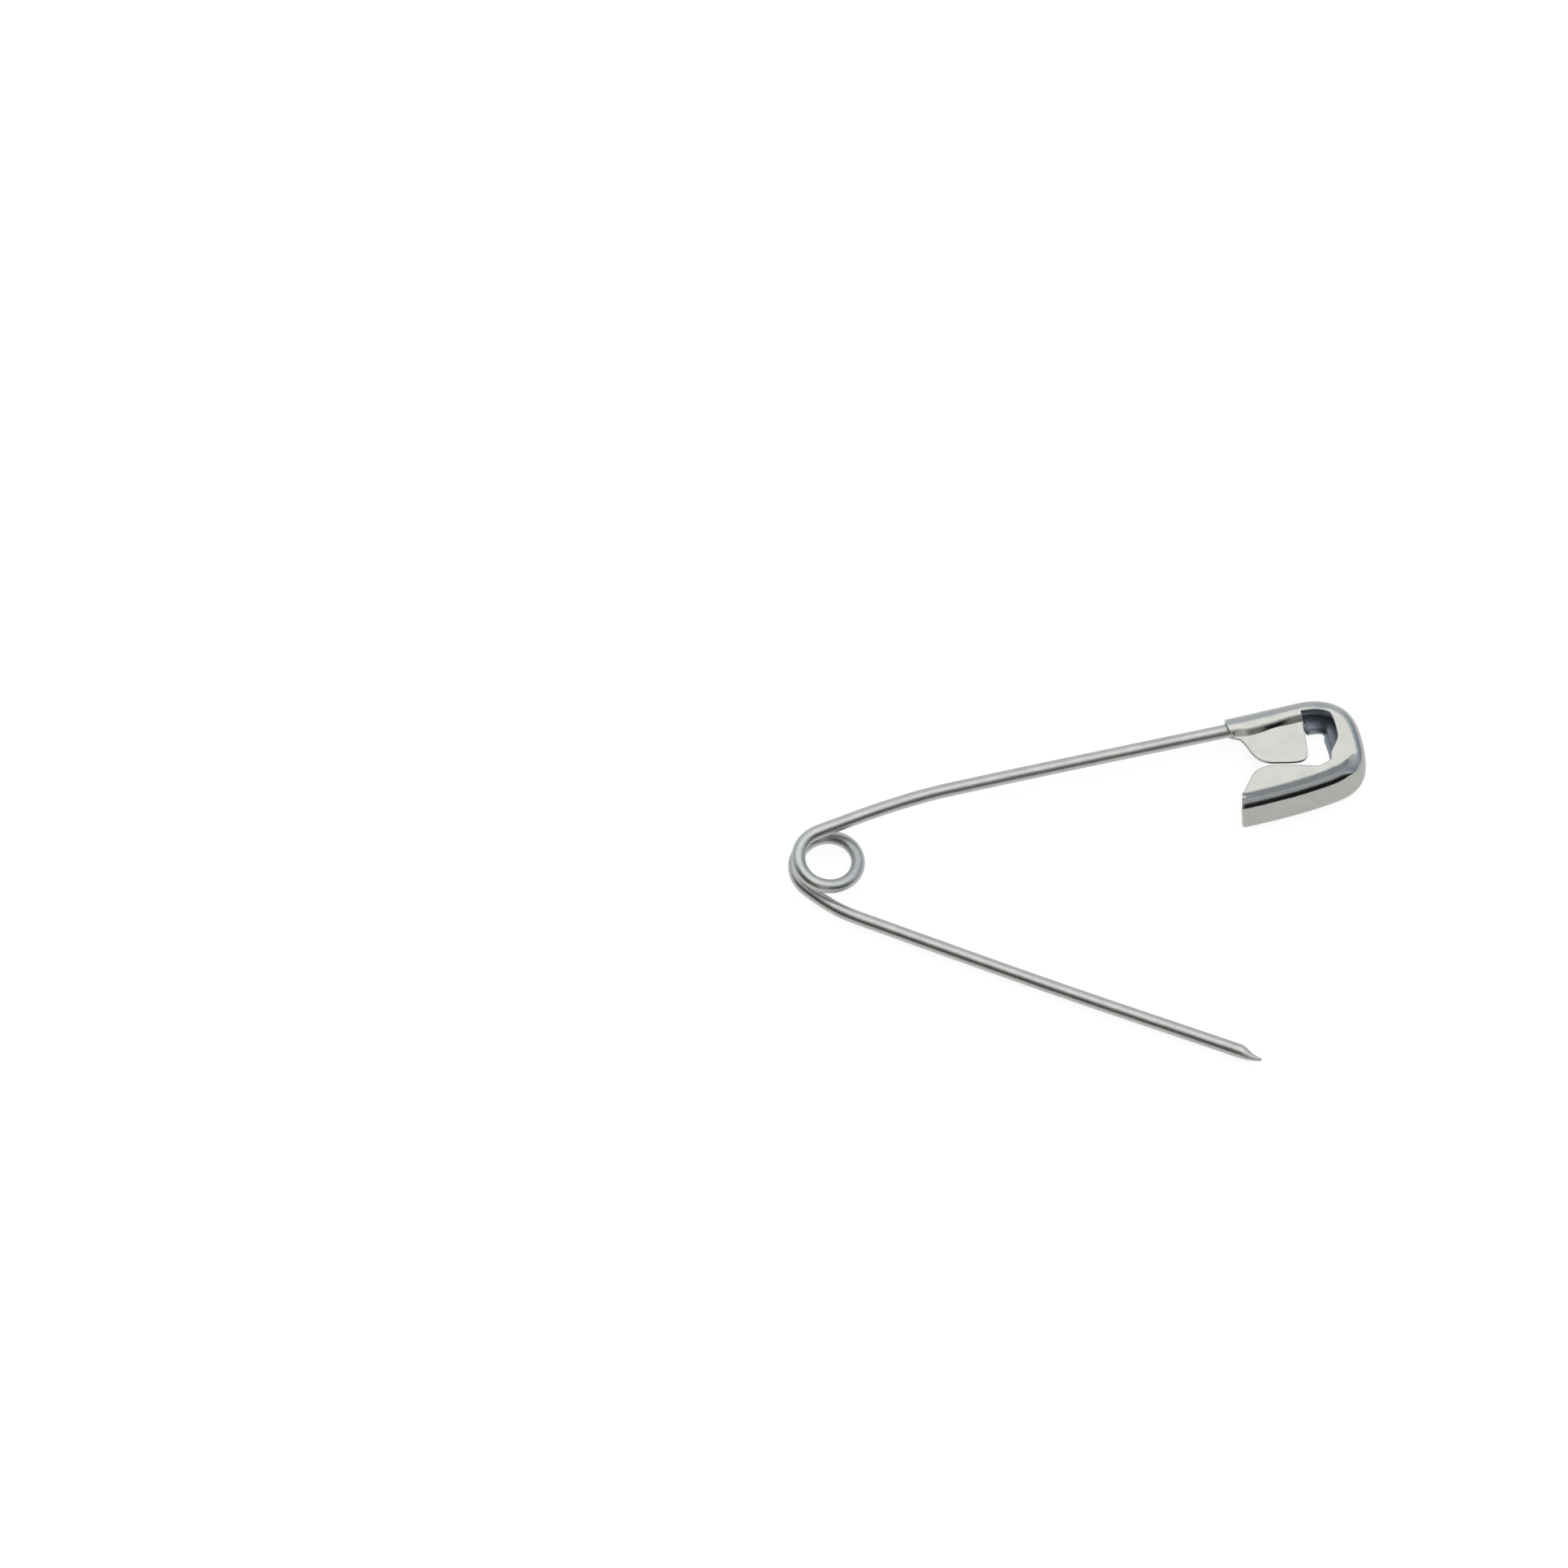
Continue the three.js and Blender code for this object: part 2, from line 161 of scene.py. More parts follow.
# even out the bends a little, as springy wire does
STEP = 0.08
fine = at_lengths(route, np.arange(0, cumulative(route)[-1], STEP))
fine = np.concatenate([fine, route[-1:]])
SIGMA = 0.40
half = int(4 * SIGMA / STEP)
kernel = np.exp(-0.5 * (np.arange(-half, half + 1) * STEP / SIGMA) ** 2)
kernel /= kernel.sum()
head = fine[0] + (fine[0] - fine[1]) * np.arange(half, 0, -1)[:, None]
tail = fine[-1] + (fine[-1] - fine[-2]) * np.arange(1, half + 1)[:, None]
padded = np.concatenate([head, fine, tail])
route = np.stack([np.convolve(padded[:, k], kernel, "valid") for k in range(3)], axis=1)
ROUTE_S = cumulative(route)
ROUTE_L = ROUTE_S[-1]


def frames(points):
    """Tangent, side and up at each point, carried along without twist."""
    t = np.gradient(points, axis=0)
    t /= np.linalg.norm(t, axis=1)[:, None]
    up = np.zeros_like(points)
    u = np.array([0.0, 0.0, 1.0])
    for i in range(len(points)):
        u = u - t[i] * (u @ t[i])
        u /= np.linalg.norm(u)
        up[i] = u
    return t, np.cross(t, up), up


# the point is ground mostly from its inner side: place along it, radius and sideways shift as parts of the wire's radius
TAPER = spline([(0, 1, 0.8), (0.12, 0.95, 0.8), (0.30, 0.80, 0.78), (0.48, 0.61, 0.70), (0.65, 0.45, 0.57), (0.80, 0.34, 0.43),
                (0.93, 0.24, 0.31), (1, 0.13, 0.25)], 16)


def wire_piece(name, lengths, sides=44, round_start=False):
    pts = at_lengths(route, lengths)
    eps = 0.02
    t = at_lengths(route, np.clip(lengths + eps, 0, ROUTE_L)) - at_lengths(route, np.clip(lengths - eps, 0, ROUTE_L))
    t /= np.linalg.norm(t, axis=1)[:, None]
    base_up = np.stack([np.interp(lengths, ROUTE_S, ROUTE_UP[:, k]) for k in range(3)], axis=1)
    ang = (np.arange(sides) + 0.5) * 2 * np.pi / sides
    verts, att = [], []
    d = unit(route[-1] - at_lengths(route, np.array([ROUTE_L - 1.5]))[0])
    out_dir = unit(np.cross(d, AXIS))
    for i, s in enumerate(lengths):
        up = base_up[i] - t[i] * (base_up[i] @ t[i])
        up /= np.linalg.norm(up)
        side = np.cross(t[i], up)
        f = max(0.0, (s - (ROUTE_L - POINT_LENGTH)) / POINT_LENGTH)
        r = WIRE_R * float(np.interp(f, TAPER[:, 0], TAPER[:, 1]))
        shift = out_dir * (WIRE_R - r) * float(np.interp(f, TAPER[:, 0], TAPER[:, 2]))
        # drawn wire is never quite even
        r *= 1 - 0.004 - 0.004 * math.sin(1.7 * s + 0.6) * math.sin(0.43 * s) - 0.002 * math.sin(5.1 * s)
        if round_start and s - lengths[0] < 0.12:
            q = (s - lengths[0]) / 0.12
            r -= 0.12 * (1 - math.sqrt(max(0.0, 1 - (1 - q) ** 2)))
        if lengths[-1] >= ROUTE_L - 1e-6 and ROUTE_L - s < 0.03:
            q = (ROUTE_L - s) / 0.03
            r *= math.sqrt(max(0.05, 1 - (1 - q) ** 2))
        ring = pts[i] + shift + r * (np.cos(ang)[:, None] * side + np.sin(ang)[:, None] * up)
        verts.extend(ring)
        att.extend(np.stack([np.full(sides, s), np.cos(ang) * WIRE_R, np.sin(ang) * WIRE_R], axis=1))
    faces, n = [], len(lengths)
    for i in range(n - 1):
        for j in range(sides):
            a, b = i * sides + j, i * sides + (j + 1) % sides
            faces.append((a, b, b + sides, a + sides))
    sharp = set()
    for k in (0, n - 1):
        c = len(verts)
        verts.append(np.mean(verts[k * sides:(k + 1) * sides], axis=0))
        att.append([lengths[k], 0, 0])
        for j in range(sides):
            a, b = k * sides + j, k * sides + (j + 1) % sides
            faces.append((c, a, b) if k else (c, b, a))
            sharp.add((a, b))
    return new_mesh(name, verts, faces, sharp, {"along": np.array(att)})


_, _, ROUTE_UP = frames(route)
arm_lengths = np.concatenate([
    [0, 0.004, 0.015, 0.035, 0.06, 0.09, 0.12],
    np.arange(0.3, split_at - 19.0, 0.20),
    np.linspace(split_at - 18.9, split_at, 236),
])
wire_main = wire_piece("spring_wire", arm_lengths, round_start=True)
point_start = ROUTE_L - POINT_LENGTH
pin_lengths = np.concatenate([
    np.linspace(split_at, split_at + 4, 50)[:-1],
    np.arange(split_at + 4, point_start - 0.35, 0.20),
    np.linspace(point_start - 0.3, ROUTE_L - 0.04, 56),
    [ROUTE_L - 0.03, ROUTE_L - 0.02, ROUTE_L - 0.01, ROUTE_L - 0.004, ROUTE_L],
])
wire_pin = wire_piece("pin_wire", pin_lengths)

# ------------------------------------------------------------------ cap
SHEET = 0.27
HALF = SHEET / 2
CRIMP_R, BACK_Y, BACK_Z = 0.77, 2.99, 1.15
CRIMP_X0, LOBE_END_X, CHANNEL_X0 = 28.25, 33.30, 27.75
EDGE_R = 0.05                                   # rounding of the sheet's cut edges
EDGE_STEPS = np.array([0, 0.004, 0.014, 0.03, 0.052])

CURVES = {
    1: ((33.30, 2.99), (35.00, 2.99), (35.95, 2.48), (36.041, 1.00)),
    2: ((36.041, 1.00), (36.078, 0.40), (36.071, -0.15), (35.986, -0.74)),
    3: ((35.986, -0.74), (35.80, -1.95), (35.05, -2.36), (33.60, -2.55)),
    4: ((33.60, -2.55), (31.80, -2.784), (29.60, -2.86), (27.75, -2.82)),
}


def rim(k, t):
    a, b, c, d = (np.array(p) for p in CURVES[k])
    u = 1 - t
    p = a * u ** 3 + 3 * b * u * u * t + 3 * c * u * t * t + d * t ** 3
    v = 3 * (b - a) * u * u + 6 * (c - b) * u * t + 3 * (d - c) * t * t
    v /= np.linalg.norm(v)
    return p, np.array([v[1], -v[0]])           # place and inward direction


def table(pairs, x):
    xs, vs = zip(*pairs)
    return float(np.interp(x, xs, vs))


# outline of the lower lobe: (station on the channel's centre line, reach inward)
LOBE_A = [(27.77, 0.70), (27.83, 0.88), (27.9, 1.02), (28.1, 1.33), (28.4, 1.70), (28.7, 1.99), (29.1, 2.25), (29.6, 2.42), (30.0, 2.48),
          (30.4, 2.47), (30.8, 2.40), (31.4, 2.25), (32.2, 2.00), (33.0, 1.68), (33.6, 1.42)]
LOBE_B = [(27.77, 0.42), (27.95, 0.50), (28.1, 0.58), (28.5, 0.87), (28.9, 1.25), (29.4, 1.72), (29.9, 2.09), (30.4, 2.29), (30.8, 2.31),
          (31.2, 2.17), (31.7, 1.97), (32.7, 1.67), (33.6, 1.49)]
FAN_A, FAN_B = 30.40, 30.80
END_H, CHANNEL_H, PLATE_Z = 1.60, 2.57, 1.453
CORNER_R, SHOULDER_R, RIDGE_R, RIDGE_FALL = 0.50, 0.78, 0.275, 53.0


def slant(x):
    """How far a point runs back along X for each mm inward, near the channel's open end."""
    return 0.25 * min(1.0, max(0.0, (29.4 - x) / (29.4 - CHANNEL_X0)))


def channel_t(x):
    lo, hi = 0.0, 1.0
    for _ in range(40):
        mid = (lo + hi) / 2
        if rim(4, mid)[0][0] > x:
            lo = mid
        else:
            hi = mid
    return (lo + hi) / 2


def outline(pairs, x_from):
    """Plan points of a lobe's free edge from station x_from towards the open end, closely spaced and eased."""
    xs = np.array([p[0] for p in pairs if p[0] <= x_from] + [x_from])
    xs = np.unique(xs)[::-1]
    pts = []
    for x in xs:
        p, inward = rim(4, channel_t(x))
        e = table(pairs, x)
        pts.append(p + inward * e + np.array([slant(p[0]) * e, 0]))
    curve = spline([np.append(p, 0) for p in pts], 24)[:, :2]
    return curve


EDGE_A, EDGE_B = outline(LOBE_A, FAN_A), outline(LOBE_B, FAN_B)


def on_outline(curve, f):
    s = np.concatenate([[0], np.cumsum(np.linalg.norm(np.diff(curve, axis=0), axis=1))])
    return np.array([np.interp(f * s[-1], s, curve[:, k]) for k in (0, 1)])


def eased(pairs, x):
    """The table's value with its corners eased."""
    return float(np.mean([table(pairs, x + d) for d in np.linspace(-0.14, 0.14, 9)]))


def rim_shape(k, t):
    """Half height r, height of the underside z0, and how far the rim is drawn up into the channel's ridge, g."""
    if k == 1:
        f = smooth(t / 0.58)
        return lerp(CRIMP_R, END_H / 2, f), lerp(BACK_Z - CRIMP_R, 0.0, f), 0.0
    w = 3.1 * t if k == 3 else 1.75 * (t - 1) if k == 2 else 9.0           # millimetres past the start of the corner
    return lerp(END_H / 2, CHANNEL_H / 2 + 0.008, smooth((w - 0.05) / 2.3)), 0.0, smooth((w - 0.10) / 1.9)


def core(k, t):
    """Middle line of the rim's section: (outward, up) points from the plate side to the under side, and their facings."""
    r, z0, g = rim_shape(k, t)
    _, inward = rim(k, t)
    facing = max(0.0, float(inward @ np.array([0.2419, 0.9703])))     # 1 where the wall faces the near side
    rb, rt, rr = lerp(r, CORNER_R, g), lerp(r, SHOULDER_R, g), lerp(r, RIDGE_R, g)
    turn = 20.0
    cb = np.array([(r - rb) * lerp(1.0, 0.637, facing), rb])
    ct = np.array([-0.13 * g, 2 * r - 0.02 * g - rr - (rt - rr) * math.cos(turn * DEG)])
    cr = ct + (rt - rr) * np.array([math.sin(turn * DEG), math.cos(turn * DEG)])
    d = ct - cb
    if np.linalg.norm(d) < 1e-6:
        wall = 90.0
    else:
        wall = (math.atan2(d[0], d[1]) + math.acos((rb - rt) / np.linalg.norm(d))) / DEG
    # the ridge's inner side is as steep as its height over the plate allows
    over = max(0.012, 2 * r - 0.02 * g - HALF + z0 - PLATE_Z)
    fall = min(RIDGE_FALL, math.acos(max(-1.0, 1 - over / (rr + 0.26))) / DEG)
    if k == 1:
        fall = lerp(8.0, fall, smooth((t - 0.6) / 0.4))
    line = []                                    # (point, facing direction)

    def direction(a):
        return np.array([math.sin(a * DEG), math.cos(a * DEG)])

    def arc(c, rad, a0, a1):
        for a in np.linspace(a0, a1, max(2, int(abs(a1 - a0) / 1.5) + 1)):
            line.append((c + direction(a) * (rad - HALF), a))

    # plate, hollow and inner face of the ridge
    top = cr + direction(-fall) * (rr - HALF)
    drop = top[1] + z0 - PLATE_Z
    if k > 1 or t > 0.3:
        drop = max(drop, 0.002)
        bend = min(0.26 + HALF, 0.95 * drop / (1 - math.cos(fall * DEG)))
        run = (drop - bend * (1 - math.cos(fall * DEG))) / math.sin(fall * DEG)
        foot = top - np.array([math.cos(fall * DEG), math.sin(fall * DEG)]) * run
        hollow = foot + direction(-fall) * bend
        for a in np.linspace(0, -fall, max(3, int(fall / 1.5))):
            line.append((hollow - direction(a) * bend, a))
        for f in np.linspace(0, 1, max(2, int(run / 0.06) + 2))[1:-1]:
            line.append((foot + (top - foot) * f, -fall))
    arc(cr, rr, -fall, turn)
    arc(ct, rt, turn, wall)
    arc(cb, rb, wall, 176.0)
    pts = np.array([p for p, _ in line])
    pts[:, 1] += z0
    face = np.array([a for _, a in line])
    keep = np.concatenate([[True], np.linalg.norm(np.diff(pts, axis=0), axis=1) > 1e-7])
    return pts[keep], face[keep]


ROUND_A = [(0.44, 0.0), (0.50, 0.03), (0.58, 0.24), (0.66, 0.36), (0.74, 0.45), (0.84, 0.55), (1.0, 0.66)]


def edge_reach(k, t):
    """How far the upper and under flanges reach inward from the rim's centre line."""
    if k == 1:
        r, z0, _ = rim_shape(k, t)
        a = (r - HALF) * math.sin(8 * DEG) + float(np.mean([table(ROUND_A, t + q) for q in np.linspace(-0.05, 0.05, 9)]))
        return a, lerp(1.15, 1.55, smooth((t - 0.3) / 0.7)) + 0.45 * z0
    if k == 2:
        return lerp(0.75, 1.50, smooth(t)), lerp(1.55, 1.50, t)
    if k == 3:
        return lerp(1.50, 1.42, smooth(t)), lerp(1.50, 1.49, smooth(t))
    x = rim(4, t)[0][0]
    return eased(LOBE_A, x), eased(LOBE_B, x)


N_A, N_C, N_B = 40, 58, 20


def spread(n, a, b, s, weight):
    """n positions from a to b along s, closer where weight is high; both ends included."""
    w = np.concatenate([[0], np.cumsum(0.5 * (weight[1:] + weight[:-1]) * np.diff(s))])
    wa, wb = np.interp(a, s, w), np.interp(b, s, w)
    return np.interp(np.linspace(wa, wb, n), w, s)


def rim_row(k, t):
    """One row of the rim's sheet, from the upper edge round the outside to the under edge."""
    p, inward = rim(k, t)
    pts, face = core(k, t)
    reach_a, reach_b = edge_reach(k, t)
    x = p[0]
    lean = slant(x) if k == 4 else 0.0

    def plan(o):
        return p - inward * o - np.array([lean * o, 0])

    # upper side
    if reach_a > -pts[0][0] + 0.02:
        base = plan(pts[0][0])
        if k == 4 and x < FAN_A:
            edge = on_outline(EDGE_A, (FAN_A - x) / (FAN_A - CHANNEL_X0))
        else:
            edge = plan(-reach_a)
        n = 60
        rows = [np.append(base + (edge - base) * (1 - i / n), pts[0][1]) for i in range(n)]
        rows += [np.append(plan(o), z) for o, z in pts]
        faces = [0.0] * n + list(face)
    else:
        cut = next(i for i in range(len(pts)) if -pts[i][0] <= reach_a)
        rows = [np.append(plan(o), z) for o, z in pts[cut:]]
        faces = list(face[cut:])
        if cut > 0:
            a, b = pts[cut - 1], pts[cut]
            f = (-reach_a - a[0]) / (b[0] - a[0])
            q = a + (b - a) * f
            rows = [np.append(plan(q[0]), q[1])] + rows
            faces = [lerp(face[cut - 1], face[cut], f)] + faces
    # under side: at the crimp it is still curled round the wire
    last = pts[-1]
    base = plan(last[0])
    if k == 4 and x < FAN_B:
        edge = on_outline(EDGE_B, (FAN_B - x) / (FAN_B - CHANNEL_X0))
    else:
        edge = plan(-reach_b)
    curled = 1 - smooth(t / 0.05) if k == 1 else 0.0
    r, z0, _ = rim_shape(k, t)
    n = 40
    for i in range(1, n + 1):
        f = i / n
        q = np.append(base + (edge - base) * f, last[1] + 0.05 * smooth((f - 0.7) / 0.3))
        if curled:
            a = (266 + 66 * f) * DEG
            c = np.append(plan(-(r - HALF) * math.cos(a)), z0 + r + (r - HALF) * math.sin(a))
            q = q + (c - q) * curled
        rows.append(q)
        faces.append(180.0)
    rows, faces = np.array(rows), np.array(faces)
    # the channel's bottom corner is worn round at its open end
    if k == 4 and x < 28.25:
        low = np.clip((1.05 - rows[:, 2]) / 0.76, 0, 1) * (faces > 60)
        bottom = np.flatnonzero(faces >= 179)[0]
        away = np.linalg.norm(rows[:, :2] - rows[bottom - 1, :2], axis=1)
        low *= np.where(faces >= 179, np.clip(1 - away / 0.9, 0, 1), 1)
        rows[:, 0] += 0.30 * (1 - np.sqrt(1 - 0.97 * low ** 2)) * smooth((28.25 - x) / 0.5)
    apart = np.concatenate([[True], np.linalg.norm(np.diff(rows, axis=0), axis=1) > 1e-5])
    rows, faces = rows[apart], faces[apart]
    s = np.concatenate([[0], np.cumsum(np.linalg.norm(np.diff(rows, axis=0), axis=1))])
    total = s[-1]
    turn = np.abs(np.gradient(faces, s, edge_order=1)) * DEG
    turn = np.clip(np.convolve(np.pad(turn, 2, mode="edge"), np.ones(5) / 5, "valid"), 0, 8)
    weight = 1 + 0.45 * turn
    # the ridge's crest, made rougher and painted darker: painted shade that dims its highlight
    g = rim_shape(k, t)[2]
    shaded_crest = np.zeros(len(s))
    if g > 0:
        top = np.flatnonzero((faces > -40) & (faces < 22) & (np.arange(len(faces)) > np.argmin(faces)))
        shaded_crest = g * np.clip(1 - np.maximum(np.maximum(s[top[0]] - s, s - s[top[-1]]), 0) / 0.07, 0, 1)
    # zone boundaries: the first moves from the crown of the bare roll to the ridge's inner side
    w = smooth((t - 0.44) / 0.5) if k == 1 else 1.0
    pivot = lerp(24.0, -7.0, w) if k == 1 else lerp(-7.0, -45.0, smooth((k - 2 + t) / 1.6))
    inner = np.flatnonzero(faces >= pivot) if pivot > 0 else np.flatnonzero((faces >= pivot) & (np.arange(len(faces)) > np.argmin(faces)))
    a1 = max(s[inner[0]] if len(inner) else 0.3, 0.16)
    outer = np.flatnonzero(faces >= 175.5)
    b1 = min(s[outer[0]], total - 0.16)
    cols = np.concatenate([
        EDGE_STEPS,
        spread(N_A - len(EDGE_STEPS) + 1, EDGE_STEPS[-1], a1, s, weight)[1:],
        spread(N_C + 1, a1, b1, s, weight)[1:],
        spread(N_B - len(EDGE_STEPS) + 1, b1, total - EDGE_STEPS[-1], s, weight)[1:],
        total - EDGE_STEPS[::-1][1:],
    ])
    return np.stack([np.interp(cols, s, v) for v in (*rows.T, shaded_crest)], axis=1)


# stations along the rim, closer at the open end
stations = []
for k in (1, 2, 3, 4):
    ts = np.linspace(0, 1, 400)
    pl = np.array([rim(k, t)[0] for t in ts])
    s = np.concatenate([[0], np.cumsum(np.linalg.norm(np.diff(pl, axis=0), axis=1))])
    n = int(s[-1] / 0.075)
    where = np.linspace(0, s[-1], n + 1)
    if k == 1:
        where = np.concatenate([EDGE_STEPS, where[1:]])
    else:
        where = where[1:]
    if k == 4:
        where = np.concatenate([where[where < s[-1] - 0.09], s[-1] - EDGE_STEPS[::-1]])
    stations += [(k, float(np.interp(v, s, ts))) for v in where]
rim_grid = np.array([rim_row(k, t) for k, t in stations])
rim_grid, rim_shaded_crest = rim_grid[..., :3], rim_grid[..., 3]
N_COLS = rim_grid.shape[1]

# crimp tube and upper lobe: their section's middle part is the rim's first row
first = rim_grid[0]
mid_r = CRIMP_R - HALF


def tube(a):
    """Section point of the crimp at angle a from inward, upward positive: (inward, up)."""
    return mid_r * math.cos(a * DEG), BACK_Z + mid_r * math.sin(a * DEG)


LEAF = [(28.27, 2.25), (28.42, 2.14), (28.66, 1.95), (29.00, 1.44), (29.36, 0.77), (29.84, 0.18), (30.40, -0.13), (31.0, -0.28), (31.8, -0.46),
        (32.35, -0.53), (32.74, -0.46), (32.96, -0.16), (33.06, 0.35), (33.15, 1.20), (33.22, 1.9), (33.26, 2.42)]
leaf = spline([np.array([x, y, 0]) for x, y in LEAF], 24)[:, :2]
xs = np.concatenate([CRIMP_X0 + EDGE_STEPS, np.linspace(CRIMP_X0 + 0.11, LOBE_END_X - 0.11, 62), LOBE_END_X - EDGE_STEPS[::-1]])


def widening(x):
    """The crimp is pressed slightly wider than round, most of all at its open end."""
    return 1 + 0.17 * (1 - smooth((x - 29.6) / 3.7)) * (0.25 + 0.75 * smooth((x - 28.25) / 1.4))


def widened(e, x):
    return (e + mid_r) * widening(x) - mid_r


def crimp_side(x):
    """From the tube's crown over its near slope and a hollow into the leaf: (inward, up) points."""
    slope = 30.5 + 12.5 * math.exp(-((x - 31.35) / 0.62) ** 2) + 8 * (1 - smooth((x - CRIMP_X0) / 0.6))
    slope = math.atan(math.tan(slope * DEG) * widening(x)) / DEG
    out = [tube(a) for a in np.linspace(82, 90 - slope, 14)[1:]]
    e, z = out[-1]
    bend = 0.30
    run = (z - PLATE_Z - bend * (1 - math.cos(slope * DEG))) / math.sin(slope * DEG)
    for f in (0.25, 0.5, 0.75, 1.0):
        out.append((e + run * f * math.cos(slope * DEG), z - run * f * math.sin(slope * DEG)))
    e, z = out[-1]
    for a in np.linspace(slope, 0, 9)[1:]:
        out.append((e + bend * (math.sin(slope * DEG) - math.sin(a * DEG)), PLATE_Z + bend * (1 - math.cos(a * DEG))))
    return out


N_LEAF = 26
crimp_rows = []
for i, x in enumerate(xs):
    side = [(widened(e, x), z) for e, z in crimp_side(x)]
    f = (x - CRIMP_X0) / (LOBE_END_X - CRIMP_X0)
    row = [np.array([x, BACK_Y - e, z]) for e, z in side[::-1]]
    base = np.array([x, BACK_Y - side[-1][0]])
    edge = on_outline(leaf, f)
    if np.linalg.norm(edge - base) < 0.06 or edge[1] > base[1] - 0.02:
        edge = base + np.array([0.0, -0.06])
    length = np.linalg.norm(edge - base)
    steps = EDGE_STEPS * min(1.0, length / 0.16)
    inner = np.linspace(steps[-1], length, N_LEAF + 1)[1:-1]
    plate = []
    for v in np.concatenate([steps, inner]):
        q = edge + (base - edge) * (v / length)
        plate.append(np.array([q[0], q[1], PLATE_Z]))
    middle = first.copy()
    middle[:, 0] = x
    middle[:, 1] = BACK_Y - widened(BACK_Y - middle[:, 1], x)
    whole = plate + row + list(middle)
    for q in whole:                             # the open end is cut slightly aslant, more so on its under side
        e = BACK_Y - q[1]
        cut = 0.25 * smooth((e - 0.12) / 0.6) + (0.38 * smooth((e - 0.10) / 0.45) if q[2] < BACK_Z else 0.0)
        q[0] += cut * (1 - smooth((x - CRIMP_X0) / 1.5))
    crimp_rows.append(whole)
crimp_grid = np.array(crimp_rows)
lead = crimp_grid.shape[1] - N_COLS


def grid_faces(start, rows, cols):
    return [(start + i * cols + j, start + i * cols + j + 1, start + (i + 1) * cols + j + 1, start + (i + 1) * cols + j)
            for i in range(rows - 1) for j in range(cols - 1)]


mid = np.concatenate([crimp_grid.reshape(-1, 3), rim_grid.reshape(-1, 3)])
quads = grid_faces(0, len(crimp_grid), crimp_grid.shape[1])
offset = crimp_grid.shape[0] * crimp_grid.shape[1]
shared = {offset + j: (len(crimp_grid) - 1) * crimp_grid.shape[1] + lead + j for j in range(N_COLS)}
quads += [tuple(shared.get(v, v) for v in q) for q in grid_faces(offset, len(rim_grid), N_COLS)]
used = sorted({v for q in quads for v in q})
renumber = {v: i for i, v in enumerate(used)}
mid = mid[used]
shaded_crest = np.concatenate([np.zeros(offset), rim_shaded_crest.ravel()])[used]
quads = [tuple(renumber[v] for v in q) for q in quads]


def solid_sheet(name, mid, quads):
    """Thickens the middle surface by SHEET, with rounded edges."""
    q = np.array(quads)
    a, b, c, d = (mid[q[:, i]] for i in range(4))
    fn = np.cross(c - a, d - b)
    nrm = np.zeros_like(mid)
    for i in range(4):
        np.add.at(nrm, q[:, i], fn / np.maximum(np.linalg.norm(fn, axis=1), 1e-12)[:, None] * (np.linalg.norm(fn, axis=1) ** 0.5)[:, None])
    nrm /= np.maximum(np.linalg.norm(nrm, axis=1), 1e-12)[:, None]
    count = {}
    for f in quads:
        for i in range(4):
            e = (f[i], f[(i + 1) % 4])
            count.setdefault(tuple(sorted(e)), []).append(e)
    border = [v[0] for v in count.values() if len(v) == 1]
    samples = []
    for u, v in border:
        for f in np.linspace(0, 1, max(2, int(np.linalg.norm(mid[u] - mid[v]) / 0.02) + 2)):
            samples.append(mid[u] * (1 - f) + mid[v] * f)
    tree = KDTree(len(samples))
    for i, s in enumerate(samples):
        tree.insert(s, i)
    tree.balance()
    half = np.full(len(mid), HALF)
    dist = np.full(len(mid), 9.0)
    for i, m in enumerate(mid):
        dist[i] = tree.find(m)[2]
        if dist[i] < EDGE_R:
            half[i] = HALF - EDGE_R + math.sqrt(max(0.0, EDGE_R ** 2 - (EDGE_R - dist[i]) ** 2))
    n = len(mid)
    verts = np.concatenate([mid + nrm * half[:, None], mid - nrm * half[:, None]])
    outward = np.sum(nrm * (mid - mid.mean(axis=0))) > 0
    # marks the inner faces, which the material gives a painted shade
    inside_shade = np.concatenate([np.full(n, 0.0 if outward else 1.0), np.full(n, 1.0 if outward else 0.0)])
    faces = list(quads) + [tuple(n + v for v in reversed(f)) for f in quads]
    for u, v in border:
        faces.append((v, u, n + u, n + v))
    return new_mesh(name, verts, faces, (), {"rim_distance": np.concatenate([dist, dist]), "inside_shade": inside_shade,
                                         "shaded_crest": np.concatenate([shaded_crest, shaded_crest])})


cap = solid_sheet("cap_shell", mid, quads)

# ------------------------------------------------------------------ materials


def node(tree, kind, inputs=None, **settings):
    n = tree.nodes.new(kind)
    for key, value in settings.items():
        setattr(n, key, value)
    for key, value in (inputs or {}).items():
        if isinstance(value, bpy.types.NodeSocket):
            tree.links.new(value, n.inputs[key])
        else:
            n.inputs[key].default_value = value
    return n


def ramp(tree, fac, stops):
    n = tree.nodes.new("ShaderNodeValToRGB")
    n.color_ramp.interpolation = "EASE"
    el = n.color_ramp.elements
    while len(el) < len(stops):
        el.new(0.5)
    for e, (pos, col) in zip(el, stops):
        e.position = pos
        e.color = (col, col, col, 1) if isinstance(col, (int, float)) else (*col, 1)
    tree.links.new(fac, n.inputs["Fac"])
    return n


def math_node(tree, op, a, b=0.0, clamp=False):
    n = tree.nodes.new("ShaderNodeMath")
    n.operation, n.use_clamp = op, clamp
    for i, v in enumerate((a, b)):
        if isinstance(v, bpy.types.NodeSocket):
            tree.links.new(v, n.inputs[i])
        else:
            n.inputs[i].default_value = v
    return n.outputs[0]


